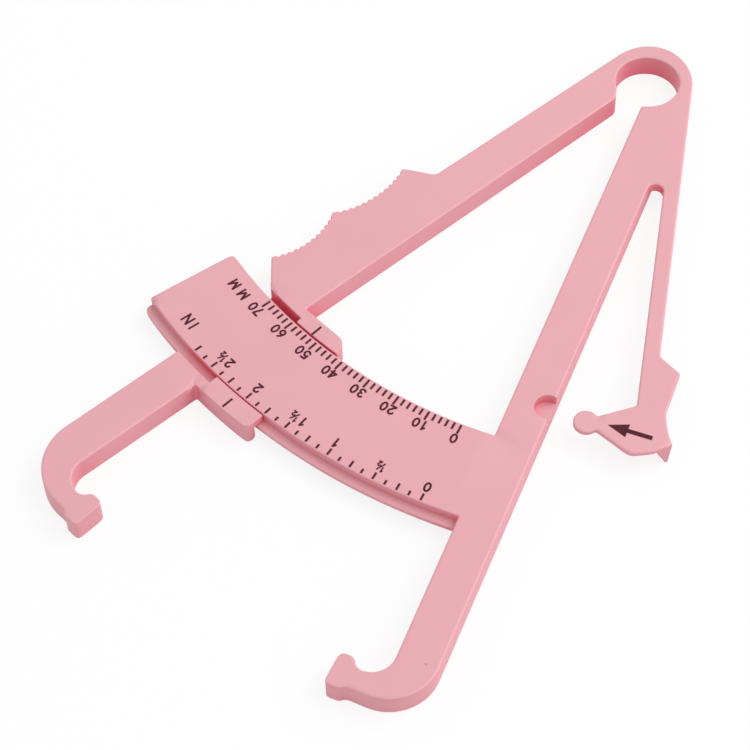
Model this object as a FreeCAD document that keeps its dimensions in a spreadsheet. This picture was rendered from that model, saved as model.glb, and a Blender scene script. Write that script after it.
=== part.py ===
# Skinfold caliper: one flat springy moulding, split into the members that do its work.
#
# Row frame: origin in the centre of the hanging hole of the spring ring, on the underside;
# +X towards the jaws along the zero ray of the scale, +Y towards the force lever, +Z up.
# Every outline is drawn in one of three flat frames and set in the row by its Placement:
#   scale frame    origin in the centre of the scale's arcs, x along the zero ray
#   pointer frame  the same centre, x along the ray that the pointers stand on at rest
#   lever frame    x along the lever's outer edge, y = 0 on that edge, towards the thumb
# All top faces lie in one plane.

import FreeCAD
import Part
import Sketcher
import math
import os
import re

# ---------------------------------------------------------------------------
# Driving dimensions, in millimetres and degrees
# ---------------------------------------------------------------------------
SIZES = {
    # depths
    "full_depth": 5.2,
    "plate_depth": 3.2,
    "rail_drop": 2.0,
    "root_depth": 2.2,
    "lever_depth": 1.8,
    "notch_depth": 2.2,
    "slide_gap": 0.3,
    "ink_height": 0.05,
    # spring ring round the hanging hole
    "bore_radius": 6.35,
    "ring_wall": 2.65,
    "bore_x": 10.7,
    "bore_y": -0.43,
    # scale plate
    "scale_inner_radius": 100.8,
    "scale_width": 18.4,
    "rail_width": 1.8,
    "scale_degrees": 26.0,
    "scale_millimetres": 70.0,
    "scale_tail_degrees": 7.3,
    "rest_reading": 53.0,
    "plate_corner": 1.0,
    "rail_corner": 1.5,
    # fixed arm
    "fixed_angle": 3.76,
    "fixed_edge_rise": 0.88,
    "fixed_width": 7.8,
    "lip_round": 0.5,
    # jaws, alike on both arms
    "jaw_tip_radius": 159.0,
    "pad_length": 6.7,
    "pad_height": 3.45,
    "jaw_gap": 0.3,
    "pad_shoulder": 0.9,
    "pad_heel_round": 1.2,
    "pad_toe_round": 0.6,
    "jaw_neck": 4.0,
    "hook_outer_radius": 10.0,
    "hook_inner_radius": 4.45,
    # moving arm, its angles counted down from the pointer ray
    "moving_inner_angle": 4.82,
    "moving_outer_angle": 5.6,
    "moving_edge_drop": 1.03,
    "moving_lip_angle": 34.0,
    "moving_lip_reach": 7.6,
    "shank_width": 8.15,
    # finger grip
    "grip_to_guide": 4.69,
    "grip_ramp": 3.4,
    "grip_depth": 5.4,
    "first_scallop": 17.3,
    "first_fall": 1.9,
    "first_scallop_radius": 19.7,
    "second_scallop": 15.7,
    "second_fall": 0.65,
    "second_scallop_radius": 15.9,
    "tooth_pitch": 1.35,
    "tooth_radius": 0.42,
    "tooth_bite": 0.32,
    "tooth_margin": 1.0,
    # guide of the moving arm, which holds the scale plate
    "guide_gap": 0.4,
    "arm_slot": 2.0,
    "arm_end_angle": 7.8,
    "mm_tab_width": 3.3,
    "mm_tab_rise": 5.15,
    "mm_tab_drop": 4.2,
    "mm_tab_bevel": 1.4,
    "inch_lip_gap": 0.3,
    "inch_wall_width": 2.1,
    "inch_tab_rise": 6.6,
    "inch_lip_drop": 5.7,
    "tab_round": 1.0,
    # force lever
    "lever_angle": 16.5,
    "lever_width": 3.15,
    "slot_radius": 1.55,
    "root_length": 6.0,
    "flexure_length": 16.0,
    "strip_end": 76.4,
    "lever_pivot": 40.3,
    "press_angle": 8.1,
    # thumb rest and head of the lever, in the lever frame
    "thumb_ramp": 3.6,
    "thumb_step": 3.95,
    "thumb_top": 8.5,
    "thumb_fall": 1.55,
    "thumb_seat": 6.9,
    "thumb_seat_rise": 1.7,
    "thumb_seat_radius": 18.0,
    "head_shoulder": 1.8,
    "head_shoulder_fall": 3.3,
    "head_nose": 2.9,
    "head_nose_fall": 7.4,
    "head_heel": 11.6,
    "ball_reach": 16.3,
    "ball_drop": 11.9,
    "ball_radius": 2.2,
    "neck_width": 2.9,
    "notch_clearance": 0.4,
    "wedge_ridge": 0.75,
    "wedge_reach": 2.9,
    # printed marks
    "tick_width": 0.42,
    "mm_step": 2.0,
    "mm_tick_margin": 0.4,
    "mm_tick_short": 1.5,
    "mm_tick_long": 2.0,
    "inch_tick_margin": 0.3,
    "inch_tick_short": 1.0,
    "inch_tick_long": 1.5,
    "pointer_line": 2.45,
    "arrow_start": 18.4,
    "arrow_rise": 0.4,
    "arrow_turn": 258.2,
    "arrow_length": 8.5,
    "arrow_shaft": 0.9,
    "arrow_head_width": 2.9,
    "arrow_head_length": 3.8,
}
MM_PER_INCH = 25.4
TICKS_PER_INCH = 8
TICKS_PER_CENTIMETRE = 5

doc = FreeCAD.newDocument("SkinfoldCaliper")

sheet = doc.addObject("Spreadsheet::Sheet", "Sizes")
for row, (alias, number) in enumerate(SIZES.items(), start=1):
    sheet.set(f"A{row}", alias)
    sheet.set(f"B{row}", str(number))
    sheet.setAlias(f"B{row}", alias)
doc.recompute()

layout = doc.addObject("App::VarSet", "Layout")
derived = []


def bound(formula):
    """Write a formula's plain names as references to the sheet and to the layout."""
    def reference(match):
        word = match.group(0)
        if word in SIZES:
            return "Sizes." + word
        if word in derived:
            return "Layout." + word
        return word
    return re.sub(r"[A-Za-z_][A-Za-z_0-9]*", reference, str(formula))


def derive(name, formula):
    """Add a value to the layout that follows from the sheet."""
    expression = bound(formula)
    layout.addProperty("App::PropertyFloat", name, "Derived")
    layout.setExpression(name, expression)
    derived.append(name)
    doc.recompute()
    return name


def value(formula):
    """The number that a formula has now."""
    return float(layout.evalExpression(bound(formula)))


# ---------------------------------------------------------------------------
# Flat geometry as formulas: a point is an (x, y) pair of formulas, and a line
# is its angle with its distance from the frame's origin, positive to its left.
# ---------------------------------------------------------------------------
def derive_point(name, point):
    return derive(name + "_x", point[0]), derive(name + "_y", point[1])


def offset_past(angle, point, distance):
    """Distance from the origin of the line at this angle that passes left of a point by distance."""
    return f"cos({angle}) * ({point[1]}) - sin({angle}) * ({point[0]}) + ({distance})"


def crossing(angle_a, offset_a, angle_b, offset_b):
    """The point where two lines cross."""
    turn = f"sin(({angle_b}) - ({angle_a}))"
    x = f"(({offset_a}) * cos({angle_b}) - ({offset_b}) * cos({angle_a})) / {turn}"
    y = f"(({offset_a}) * sin({angle_b}) - ({offset_b}) * sin({angle_a})) / {turn}"
    return x, y


def on_circle(angle, offset, radius):
    """The far crossing of a line with a circle round the origin."""
    along = f"sqrt(({radius})^2 - ({offset})^2)"
    x = f"{along} * cos({angle}) - ({offset}) * sin({angle})"
    y = f"{along} * sin({angle}) + ({offset}) * cos({angle})"
    return x, y


def beside(point, angle, along, left):
    """The point reached by going along an angle and then to its left."""
    x = f"({point[0]}) + ({along}) * cos({angle}) - ({left}) * sin({angle})"
    y = f"({point[1]}) + ({along}) * sin({angle}) + ({left}) * cos({angle})"
    return x, y


def polar(radius, angle):
    return f"({radius}) * cos({angle})", f"({radius}) * sin({angle})"


def at_height(radius, height):
    """The point of a circle round the origin at this y."""
    return f"sqrt(({radius})^2 - ({height})^2)", str(height)


# ---------------------------------------------------------------------------
# Layout: places that several members share
# ---------------------------------------------------------------------------
derive("ring_outer", "bore_radius + ring_wall")
derive("scale_outer_radius", "scale_inner_radius + scale_width")
derive("rail_radius", "scale_outer_radius + rail_width")
derive("degrees_per_mm", "scale_degrees / scale_millimetres")
derive("rest_angle", "rest_reading * degrees_per_mm")
derive("scale_end_angle", "0 - scale_degrees - scale_tail_degrees")
derive("bridge_top", "full_depth - plate_depth - slide_gap")
bore = ("bore_x", "bore_y")

# fixed arm and lever lines, in the scale frame
derive("fixed_inner_offset", offset_past("fixed_angle", bore, "fixed_edge_rise"))
derive("fixed_outer_offset", "fixed_inner_offset + fixed_width")
derive("lever_outer_offset", offset_past("lever_angle", bore, "ring_outer"))
derive("lever_inner_offset", "lever_outer_offset - lever_width")
slot = derive_point("slot", crossing("lever_angle", "lever_inner_offset - slot_radius",
                                     "fixed_angle", "fixed_outer_offset + slot_radius"))
slot_on_lever = beside(slot, "lever_angle", "0", "slot_radius")
slot_on_arm = beside(slot, "fixed_angle", "0", "0 - slot_radius")
derive("root_end", "slot_x * cos(lever_angle) + slot_y * sin(lever_angle)")
step_outer = derive_point("step_outer", beside(slot_on_arm, "fixed_angle", "0 - root_length", "0"))
step_inner = beside(step_outer, "fixed_angle", "0", "0 - fixed_width")
derive("step_offset", "0 - step_outer_x * cos(fixed_angle) - step_outer_y * sin(fixed_angle)")
step_on_lever = crossing("lever_angle", "lever_outer_offset", "fixed_angle + 90", "step_offset")
derive("lip_along", "sqrt(bore_radius^2 - fixed_edge_rise^2)")
fixed_lip = beside(bore, "fixed_angle", "lip_along", "fixed_edge_rise")

# moving arm lines, in the pointer frame
derive("bore_turned_x", "bore_x * cos(rest_angle) - bore_y * sin(rest_angle)")
derive("bore_turned_y", "bore_x * sin(rest_angle) + bore_y * cos(rest_angle)")
bore_turned = ("bore_turned_x", "bore_turned_y")
derive("inner_angle", "0 - moving_inner_angle")
derive("outer_angle", "0 - moving_outer_angle")
derive("moving_inner_offset", offset_past("inner_angle", bore_turned, "0 - moving_edge_drop"))
derive("moving_outer_offset", offset_past("outer_angle", bore_turned, "0 - ring_outer"))
derive("shank_outer_offset", "moving_inner_offset - shank_width")
derive("arm_end_radius", "scale_inner_radius - arm_slot")
derive("tab_inner_radius", "scale_inner_radius - guide_gap")
derive("tab_outer_x", "tab_inner_radius - mm_tab_width")
derive("wall_inner_radius", "rail_radius + guide_gap")
derive("wall_outer_radius", "wall_inner_radius + inch_wall_width")
derive("lip_radius", "scale_outer_radius + inch_lip_gap")

# jaws: the same hook and pad, on each arm's own side of the zero ray
derive("hook_tip_x", "jaw_tip_radius - pad_shoulder")
derive("hook_outer_x", "hook_tip_x - hook_outer_radius")
derive("hook_inner_x", "hook_tip_x - jaw_neck - hook_inner_radius")
derive("pad_back", "jaw_gap / 2 + pad_height")
derive("fixed_hook_outer_y",
       "(fixed_outer_offset - hook_outer_radius + hook_outer_x * sin(fixed_angle)) / cos(fixed_angle)")
derive("fixed_hook_inner_y",
       "(fixed_inner_offset - hook_inner_radius + hook_inner_x * sin(fixed_angle)) / cos(fixed_angle)")
derive("moving_hook_outer_y",
       "(shank_outer_offset + hook_outer_radius + hook_outer_x * sin(inner_angle)) / cos(inner_angle)")
derive("moving_hook_inner_y",
       "(moving_inner_offset + hook_inner_radius + hook_inner_x * sin(inner_angle)) / cos(inner_angle)")

# the ball of the lever swings about the lever's root into the notch of the fixed arm
derive("ball_x", "strip_end + ball_reach")
derive("neck_y", "sqrt(ball_radius^2 - (neck_width / 2)^2) - ball_drop")
derive("ball_swing_x", "ball_x - lever_pivot")
derive("ball_swing_y", "lever_width / 2 - ball_drop")
derive("pressed_x", "lever_pivot + ball_swing_x * cos(press_angle) + ball_swing_y * sin(press_angle)")
derive("pressed_y",
       "ball_swing_y * cos(press_angle) - ball_swing_x * sin(press_angle) - lever_width / 2")
lever_origin = ("0 - lever_outer_offset * sin(lever_angle)", "lever_outer_offset * cos(lever_angle)")
notch = derive_point("notch", beside(lever_origin, "lever_angle", "pressed_x", "pressed_y"))

# ---------------------------------------------------------------------------
# Frames: the angle and origin that each sub-part's Placement gets
# ---------------------------------------------------------------------------
SCALE_FRAME = ("0", ("0", "0"))
POINTER_FRAME = ("0 - rest_angle", ("0", "0"))
LEVER_FRAME = ("lever_angle", lever_origin)


def place(sub_part, frame):
    """Set a sub-part in the row: turn its frame, then put the hole's centre at the origin."""
    angle, origin = frame
    sub_part.setExpression("Placement.Rotation.Angle", bound(f"({angle}) * 1 deg"))
    sub_part.setExpression("Placement.Base.x", bound(f"({origin[0]}) - bore_x"))
    sub_part.setExpression("Placement.Base.y", bound(f"({origin[1]}) - bore_y"))


# ---------------------------------------------------------------------------
# Sketches and pads
# ---------------------------------------------------------------------------
LINE = None


def arc(radius, bulge, longer=False):
    """An arc side of an outline: bulge +1 stands out to the left of its chord, -1 to the right."""
    return radius, bulge, longer


def arc_middle(start, end, side):
    radius, bulge, longer = value(side[0]), side[1], side[2]
    chord = end - start
    left = FreeCAD.Vector(-chord.y, chord.x, 0).normalize()
    depth = math.sqrt(max(radius ** 2 - (chord.Length / 2) ** 2, 0))
    rise = radius + depth if longer else radius - depth
    return (start + end) / 2 + left * rise * bulge


def base_plane(body, role):
    return [part for part in body.Origin.OriginFeatures if part.Role == role][0]


def new_sketch(body, name, plane="XY_Plane", level="0"):
    sketch = body.newObject("Sketcher::SketchObject", name)
    sketch.AttachmentSupport = (base_plane(body, plane), "")
    sketch.MapMode = "FlatFace"
    sketch.setExpression("AttachmentOffset.Base.z", bound(level))
    return sketch


def pin_down(sketch, geometry, end, point):
    """Tie one end of a sketch line to a point given by formulas."""
    for kind, formula in (("DistanceX", point[0]), ("DistanceY", point[1])):
        index = sketch.addConstraint(Sketcher.Constraint(kind, -1, 1, geometry, end, value(formula)))
        sketch.setExpression(f"Constraints[{index}]", bound(formula))


def draw(sketch, outline):
    """Draw a closed outline of (point, side) pairs, where side is the line or arc to the next point."""
    spots = [FreeCAD.Vector(value(point[0]), value(point[1]), 0) for point, side in outline]
    ends = []
    for index, (point, side) in enumerate(outline):
        start = spots[index]
        end = spots[(index + 1) % len(spots)]
        if side is LINE:
            sketch.addGeometry(Part.LineSegment(start, end), False)
            ends.append((1, 2))
        elif side[1] > 0:
            sketch.addGeometry(Part.Arc(end, arc_middle(start, end, side), start), False)
            ends.append((2, 1))
        else:
            sketch.addGeometry(Part.Arc(start, arc_middle(start, end, side), end), False)
            ends.append((1, 2))
    for index, (point, side) in enumerate(outline):
        following = (index + 1) % len(outline)
        sketch.addConstraint(Sketcher.Constraint(
            "Coincident", index, ends[index][1], following, ends[following][0]))
    for index, (point, side) in enumerate(outline):
        pin_down(sketch, index, ends[index][0], point)
        if side is not LINE:
            radius = sketch.addConstraint(Sketcher.Constraint("Radius", index, value(side[0])))
            sketch.setExpression(f"Constraints[{radius}]", bound(side[0]))


def add_pad(body, name, outline, low, high):
    """Pad an outline from one height to another."""
    sketch = new_sketch(body, name + "_outline", level=low)
    draw(sketch, outline)
    pad = body.newObject("PartDesign::Pad", name + "_pad")
    pad.Profile = sketch
    pad.setExpression("Length", bound(f"({high}) - ({low})"))
    body.Tip = pad
    return pad


def round_upright(body, name, base, points, radius):
    """Fillet the upright edges that stand on the given points."""
    doc.recompute()
    spots = [FreeCAD.Vector(value(point[0]), value(point[1]), 0) for point in points]
    picked = []
    for index, edge in enumerate(base.Shape.Edges, start=1):
        ends = [FreeCAD.Vector(corner.X, corner.Y, 0) for corner in edge.Vertexes]
        if len(ends) == 2 and (ends[0] - ends[1]).Length < 1e-6:
            if any((ends[0] - spot).Length < 1e-4 for spot in spots):
                picked.append(f"Edge{index}")
    fillet = body.newObject("PartDesign::Fillet", name + "_round")
    fillet.Base = (base, picked)
    fillet.setExpression("Radius", bound(radius))
    body.Tip = fillet
    return fillet


def member(name, frame, outline, low="0", high="full_depth"):
    """A sub-part made by padding one outline, set in the row."""
    body = doc.addObject("PartDesign::Body", name)
    body.Label = name
    pad = add_pad(body, name, outline, low, high)
    place(body, frame)
    return body, pad


# ---------------------------------------------------------------------------
# Spring ring and hinge web
# ---------------------------------------------------------------------------
moving_seam_angle = "outer_angle - rest_angle - 90"
ring_inner_top = beside(bore, "lever_angle", "0", "bore_radius")
ring_outer_top = beside(bore, "lever_angle", "0", "ring_outer")
ring_inner_low = beside(bore, moving_seam_angle, "bore_radius", "0")
ring_outer_low = beside(bore, moving_seam_angle, "ring_outer", "0")
member("spring_ring", SCALE_FRAME, [
    (ring_outer_top, arc("ring_outer", -1)),
    (ring_outer_low, LINE),
    (ring_inner_low, arc("bore_radius", 1)),
    (ring_inner_top, LINE),
])

hinge_web, hinge_pad = member("hinge_web", SCALE_FRAME, [
    (ring_inner_top, arc("bore_radius", 1)),
    (fixed_lip, LINE),
    (step_inner, LINE),
    (step_on_lever, LINE),
    (ring_outer_top, LINE),
])
round_upright(hinge_web, "hinge_web", hinge_pad, [fixed_lip], "lip_round")

# ---------------------------------------------------------------------------
# Fixed arm: beam, hook, pad and the scale plate with its rail
# ---------------------------------------------------------------------------
hook_inner_fixed = beside(("hook_inner_x", "fixed_hook_inner_y"), "fixed_angle", "0", "hook_inner_radius")
hook_outer_fixed = beside(("hook_outer_x", "fixed_hook_outer_y"), "fixed_angle", "0", "hook_outer_radius")
fixed_arm = member("fixed_arm", SCALE_FRAME, [
    (step_inner, LINE),
    (hook_inner_fixed, LINE),
    (hook_outer_fixed, LINE),
    (step_outer, LINE),
])[0]
notch_sketch = new_sketch(fixed_arm, "notch_outline", level="full_depth")
notch_circle = notch_sketch.addGeometry(
    Part.Circle(FreeCAD.Vector(value(notch[0]), value(notch[1]), 0), FreeCAD.Vector(0, 0, 1), 1), False)
pin_down(notch_sketch, notch_circle, 3, notch)
notch_size = notch_sketch.addConstraint(
    Sketcher.Constraint("Radius", notch_circle, value("ball_radius + notch_clearance")))
notch_sketch.setExpression(f"Constraints[{notch_size}]", bound("ball_radius + notch_clearance"))
notch_pocket = fixed_arm.newObject("PartDesign::Pocket", "notch_pocket")
notch_pocket.Profile = notch_sketch
notch_pocket.setExpression("Length", bound("notch_depth"))
fixed_arm.Tip = notch_pocket


def hook(name, frame, side, inner_point, outer_point, inner_y):
    """The curved end of a jaw; side is 1 above the zero ray and -1 below it."""
    back = f"{side} * pad_back"
    outer_y = "fixed_hook_outer_y" if side > 0 else "moving_hook_outer_y"
    neck = f"hook_inner_x + sqrt(hook_inner_radius^2 - ({inner_y} - ({back}))^2)"
    member(name, frame, [
        (inner_point, arc("hook_inner_radius", side)),
        ((neck, back), LINE),
        (("hook_tip_x", back), LINE),
        (("hook_tip_x", outer_y), arc("hook_outer_radius", -side)),
        (outer_point, LINE),
    ])


def jaw_pad(name, frame, side):
    """The block that presses on the skin, with its face half a jaw gap off the zero ray."""
    face = f"{side} * jaw_gap / 2"
    back = f"{side} * pad_back"
    heel = "jaw_tip_radius - pad_length"
    toe = "jaw_tip_radius"
    body, pad = member(name, frame, [
        ((heel, face), LINE),
        ((toe, face), LINE),
        ((toe, back), LINE),
        ((heel, back), LINE),
    ])
    soft = round_upright(body, name + "_heel", pad, [(heel, face), (heel, back)], "pad_heel_round")
    round_upright(body, name + "_toe", soft, [(toe, face), (toe, back)], "pad_toe_round")


hook("fixed_jaw_hook", SCALE_FRAME, 1, hook_inner_fixed, hook_outer_fixed, "fixed_hook_inner_y")
jaw_pad("fixed_jaw_pad", SCALE_FRAME, 1)

plate_inner_start = on_circle("fixed_angle", "fixed_inner_offset", "scale_inner_radius")
plate_outer_start = on_circle("fixed_angle", "fixed_inner_offset", "scale_outer_radius")
plate_inner_end = polar("scale_inner_radius", "scale_end_angle")
plate_outer_end = polar("scale_outer_radius", "scale_end_angle")
scale_plate, plate_pad = member("scale_plate", SCALE_FRAME, [
    (plate_inner_start, arc("scale_inner_radius", 1)),
    (plate_inner_end, LINE),
    (plate_outer_end, arc("scale_outer_radius", -1)),
    (plate_outer_start, LINE),
], low="full_depth - plate_depth")
round_upright(scale_plate, "scale_plate", plate_pad, [plate_inner_end], "plate_corner")

rail_end = polar("rail_radius", "scale_end_angle")
scale_rail, rail_pad = member("scale_rail", SCALE_FRAME, [
    (plate_outer_start, arc("scale_outer_radius", 1)),
    (plate_outer_end, LINE),
    (rail_end, arc("rail_radius", -1)),
    (on_circle("fixed_angle", "fixed_inner_offset", "rail_radius"), LINE),
], low="full_depth - plate_depth", high="full_depth - rail_drop")
round_upright(scale_rail, "scale_rail", rail_pad, [rail_end], "rail_corner")

# ---------------------------------------------------------------------------
# Moving arm: bar with its finger grip
# ---------------------------------------------------------------------------
arm_end_low = polar("arm_end_radius", "0 - arm_end_angle")
arm_end_top = at_height("arm_end_radius", "0 - mm_tab_drop")
bar_on_tab = ("tab_outer_x", "(moving_inner_offset + tab_outer_x * sin(inner_angle)) / cos(inner_angle)")
derive("grip_length", "grip_ramp + first_scallop + second_scallop + grip_to_guide")
derive("grip_start", "arm_end_radius * cos(arm_end_angle) - grip_length")
grip_top = derive_point("grip_top", (
    "grip_start", "(moving_outer_offset + grip_start * sin(outer_angle)) / cos(outer_angle)"))
grip_first = derive_point("grip_first", (
    "grip_start + grip_ramp", "grip_top_y - grip_depth + grip_ramp * tan(outer_angle)"))
grip_middle = derive_point("grip_middle", ("grip_first_x + first_scallop", "grip_first_y - first_fall"))
grip_last = derive_point("grip_last", ("grip_middle_x + second_scallop", "grip_middle_y - second_fall"))
arm_end = derive_point("arm_end", arm_end_low)
derive("grip_share",
       "(moving_outer_offset + grip_last_x * sin(outer_angle) - grip_last_y * cos(outer_angle))"
       " / ((arm_end_y - grip_last_y) * cos(outer_angle) - (arm_end_x - grip_last_x) * sin(outer_angle))")
grip_seam_end = ("grip_last_x + grip_share * (arm_end_x - grip_last_x)",
                 "grip_last_y + grip_share * (arm_end_y - grip_last_y)")

moving_lip = beside(bore_turned, "inner_angle", "moving_lip_reach", "0 - moving_edge_drop")
moving_bore_end = beside(bore_turned, "0 - moving_lip_angle", "bore_radius", "0")
grip_bar, bar_pad = member("grip_bar", POINTER_FRAME, [
    (beside(bore_turned, "outer_angle - 90", "bore_radius", "0"), arc("bore_radius", -1)),
    (moving_bore_end, LINE),
    (moving_lip, LINE),
    (bar_on_tab, LINE),
    (("tab_outer_x", "0 - mm_tab_drop"), LINE),
    (arm_end_top, arc("arm_end_radius", -1)),
    (arm_end_low, LINE),
    (grip_seam_end, LINE),
    (grip_top, LINE),
    (beside(bore_turned, "outer_angle - 90", "ring_outer", "0"), LINE),
])
round_upright(grip_bar, "grip_bar", bar_pad, [moving_lip], "lip_round")


def serrate(body, name, base, start, end, radius):
    """Cut a row of small round teeth along a hollow, one groove turned about the hollow's centre."""
    chord_x = f"({end}_x - {start}_x)"
    chord_y = f"({end}_y - {start}_y)"
    chord = derive(name + "_chord", f"sqrt({chord_x}^2 + {chord_y}^2)")
    sink = derive(name + "_sink", f"sqrt({radius}^2 - ({chord} / 2)^2)")
    centre = derive_point(name, (f"({start}_x + {end}_x) / 2 + {sink} * {chord_y} / {chord}",
                                 f"({start}_y + {end}_y) / 2 - {sink} * {chord_x} / {chord}"))
    sweep = derive(name + "_sweep", f"2 * asin({chord} / 2 / {radius}) / 1 deg")
    edge_turn = derive(name + "_edge", f"tooth_margin / {radius} * 180 / pi")
    pitch_turn = derive(name + "_pitch", f"tooth_pitch / {radius} * 180 / pi")
    count = f"floor(({sweep} - 2 * {edge_turn}) / {pitch_turn}) + 1"
    first = derive(name + "_first",
                   f"90 + {sweep} / 2 + atan({chord_y} / {chord_x}) / 1 deg"
                   f" - ({sweep} - (floor(({sweep} - 2 * {edge_turn}) / {pitch_turn})) * {pitch_turn}) / 2")
    sketch = new_sketch(body, name + "_tooth", level="full_depth")
    sketch.setExpression("AttachmentOffset.Base.x", bound(centre[0]))
    sketch.setExpression("AttachmentOffset.Base.y", bound(centre[1]))
    spot = polar(f"{radius} + tooth_bite - tooth_radius", first)
    groove = sketch.addGeometry(
        Part.Circle(FreeCAD.Vector(value(spot[0]), value(spot[1]), 0), FreeCAD.Vector(0, 0, 1), 1), False)
    pin_down(sketch, groove, 3, spot)
    size = sketch.addConstraint(Sketcher.Constraint("Radius", groove, value("tooth_radius")))
    sketch.setExpression(f"Constraints[{size}]", bound("tooth_radius"))
    pocket = body.newObject("PartDesign::Pocket", name + "_groove")
    pocket.Profile = sketch
    pocket.Type = "ThroughAll"
    body.Tip = pocket
    doc.recompute()
    row = body.newObject("PartDesign::PolarPattern", name + "_teeth")
    row.Originals = [pocket]
    row.Axis = (sketch, ["N_Axis"])
    row.Reversed = True
    row.setExpression("Occurrences", bound(count))
    row.setExpression("Angle", bound(f"({count} - 1) * {pitch_turn} * 1 deg"))
    body.Tip = row
    doc.recompute()
    if row.Shape.Volume >= pocket.Shape.Volume or pocket.Shape.Volume >= base.Shape.Volume:
        raise RuntimeError(name + " cuts nothing")
    return row


finger_grip, grip_pad = member("finger_grip", POINTER_FRAME, [
    (grip_top, LINE),
    (grip_first, arc("first_scallop_radius", 1)),
    (grip_middle, arc("second_scallop_radius", 1)),
    (grip_last, LINE),
    (grip_seam_end, LINE),
])
doc.recompute()
first_row = serrate(
    finger_grip, "first_hollow", grip_pad, "grip_first", "grip_middle", "first_scallop_radius")
serrate(finger_grip, "second_hollow", first_row, "grip_middle", "grip_last", "second_scallop_radius")

# ---------------------------------------------------------------------------
# Moving arm: guide round the scale plate, shank, hook and pad
# ---------------------------------------------------------------------------
tab_low = at_height("tab_inner_radius", "0 - mm_tab_drop")
tab_high = at_height("tab_inner_radius", "mm_tab_rise + mm_tab_bevel")
tab_corner = ("tab_outer_x", "mm_tab_rise")
mm_tab, mm_tab_pad = member("mm_pointer_tab", POINTER_FRAME, [
    (("tab_outer_x", "0 - mm_tab_drop"), LINE),
    (tab_low, arc("tab_inner_radius", -1)),
    (tab_high, LINE),
    (tab_corner, LINE),
])
round_upright(mm_tab, "mm_pointer_tab", mm_tab_pad, [tab_corner], "tab_round")

shank_low = on_circle("inner_angle", "shank_outer_offset", "wall_inner_radius")
shank_high = on_circle("inner_angle", "moving_inner_offset", "wall_inner_radius")
wall_high = at_height("wall_inner_radius", "inch_tab_rise")
member("guide_bridge", POINTER_FRAME, [
    (arm_end_low, arc("arm_end_radius", -1)),
    (arm_end_top, LINE),
    (tab_low, arc("tab_inner_radius", -1)),
    (tab_high, LINE),
    (wall_high, arc("wall_inner_radius", 1)),
    (shank_low, LINE),
], high="bridge_top")

wall_outer_high = at_height("wall_outer_radius", "inch_tab_rise")
inch_tab, wall_pad = member("inch_pointer_tab", POINTER_FRAME, [
    (shank_high, LINE),
    (on_circle("inner_angle", "moving_inner_offset", "wall_outer_radius"), arc("wall_outer_radius", -1)),
    (wall_outer_high, LINE),
    (wall_high, arc("wall_inner_radius", 1)),
])
round_upright(inch_tab, "inch_wall", wall_pad, [wall_outer_high], "tab_round")
add_pad(inch_tab, "inch_lip", [
    (at_height("lip_radius", "0 - inch_lip_drop"), LINE),
    (at_height("wall_inner_radius", "0 - inch_lip_drop"), arc("wall_inner_radius", -1)),
    (wall_high, LINE),
    (at_height("lip_radius", "inch_tab_rise"), arc("lip_radius", 1)),
], "full_depth - rail_drop + slide_gap", "full_depth")

hook_inner_moving = beside(
    ("hook_inner_x", "moving_hook_inner_y"), "inner_angle", "0", "0 - hook_inner_radius")
hook_outer_moving = beside(
    ("hook_outer_x", "moving_hook_outer_y"), "inner_angle", "0", "0 - hook_outer_radius")
member("jaw_shank", POINTER_FRAME, [
    (shank_high, LINE),
    (hook_inner_moving, LINE),
    (hook_outer_moving, LINE),
    (shank_low, arc("wall_inner_radius", -1)),
])
hook("moving_jaw_hook", POINTER_FRAME, -1, hook_inner_moving, hook_outer_moving, "moving_hook_inner_y")
jaw_pad("moving_jaw_pad", POINTER_FRAME, -1)

# ---------------------------------------------------------------------------
# Force lever: root, flexure, strip, head with the thumb rest, wedge and ball
# ---------------------------------------------------------------------------
member("lever_root", SCALE_FRAME, [
    (step_outer, LINE),
    (slot_on_arm, arc("slot_radius", 1)),
    (slot_on_lever, LINE),
    (beside(slot_on_lever, "lever_angle", "0", "lever_width"), LINE),
    (step_on_lever, LINE),
], low="full_depth - root_depth")


def strip(name, start, end):
    """A length of the thin lever, between two distances along it."""
    member(name, LEVER_FRAME, [
        ((start, "0 - lever_width"), LINE),
        ((end, "0 - lever_width"), LINE),
        ((end, "0"), LINE),
        ((start, "0"), LINE),
    ], low="full_depth - lever_depth")


strip("lever_flexure", "root_end", "root_end + flexure_length")
strip("lever_strip", "root_end + flexure_length", "strip_end")

thumb_first = derive_point("thumb_first", ("strip_end + thumb_ramp", "thumb_step"))
thumb_dip = derive_point("thumb_dip", ("thumb_first_x + thumb_top", "thumb_first_y - thumb_fall"))
thumb_peak = derive_point("thumb_peak", ("thumb_dip_x + thumb_seat", "thumb_dip_y + thumb_seat_rise"))
shoulder = derive_point("shoulder", ("thumb_peak_x + head_shoulder", "thumb_peak_y - head_shoulder_fall"))
nose = ("thumb_peak_x + head_nose", "thumb_peak_y - head_nose_fall")
neck_right = ("ball_x + neck_width / 2", "neck_y")
neck_left = ("ball_x - neck_width / 2", "neck_y")
lever_head, head_pad = member("lever_head", LEVER_FRAME, [
    (("strip_end", "0 - lever_width"), LINE),
    (("strip_end + head_heel", "0 - lever_width"), LINE),
    (neck_left, LINE),
    (neck_right, LINE),
    (nose, LINE),
    (shoulder, LINE),
    (thumb_peak, arc("thumb_seat_radius", 1)),
    (thumb_dip, LINE),
    (thumb_first, LINE),
    (("strip_end", "0"), LINE),
], low="full_depth - lever_depth")
round_upright(lever_head, "lever_head", head_pad, [thumb_first, nose], "tab_round")

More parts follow.
